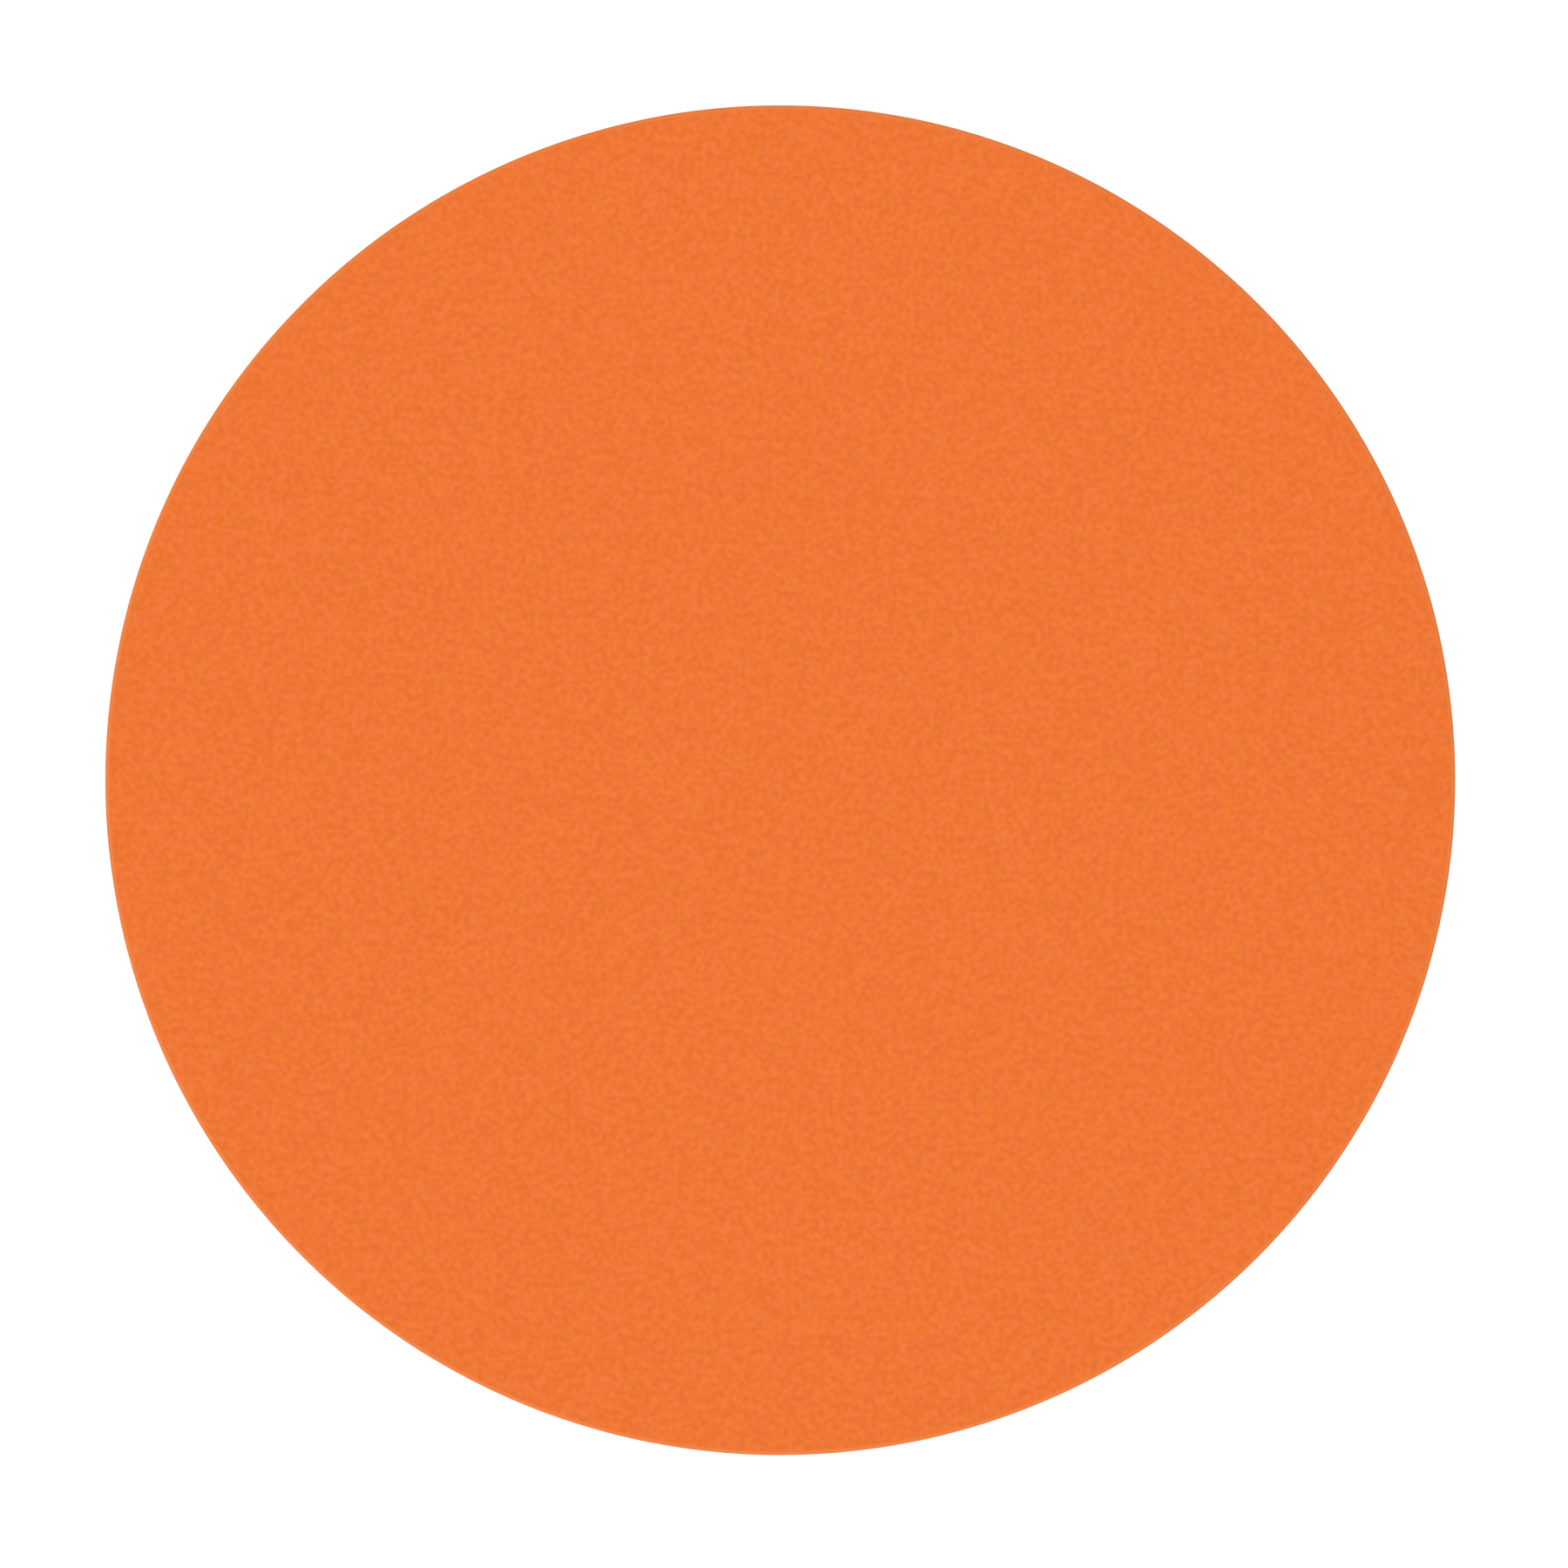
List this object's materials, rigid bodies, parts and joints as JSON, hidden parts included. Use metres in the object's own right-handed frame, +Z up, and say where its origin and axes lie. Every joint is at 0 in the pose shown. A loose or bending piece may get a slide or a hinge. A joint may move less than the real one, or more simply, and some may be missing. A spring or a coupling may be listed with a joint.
{
  "type": "flying disc",
  "caption": "Soft round flying disc of laminated orange foam: a flat matte face over a deep foam rim, which hides a stiffening hoop and leaves a hollow underside to grip.",
  "frame": {"origin": "centre of the rim's resting face, at the level of the ground", "axes": "+Z up along the spin axis, out of the flat face; +X through the joint in the hidden hoop"},
  "size_m": [0.24, 0.24, 0.0225],
  "materials": {
    "orange_foam": "matte",
    "adhesive_film": "satin",
    "hoop_plastic": "satin",
    "pin_plastic": "satin"
  },
  "bodies": {
    "root": {"base_ring": "orange_foam", "base_bond_film": "adhesive_film", "channel_outer_ring": "orange_foam", "channel_inner_ring": "orange_foam", "rim_hoop": "hoop_plastic", "hoop_joint_pin": "pin_plastic", "face_bond_film": "adhesive_film", "face_sheet": "orange_foam"}
  },
  "joints": []
}
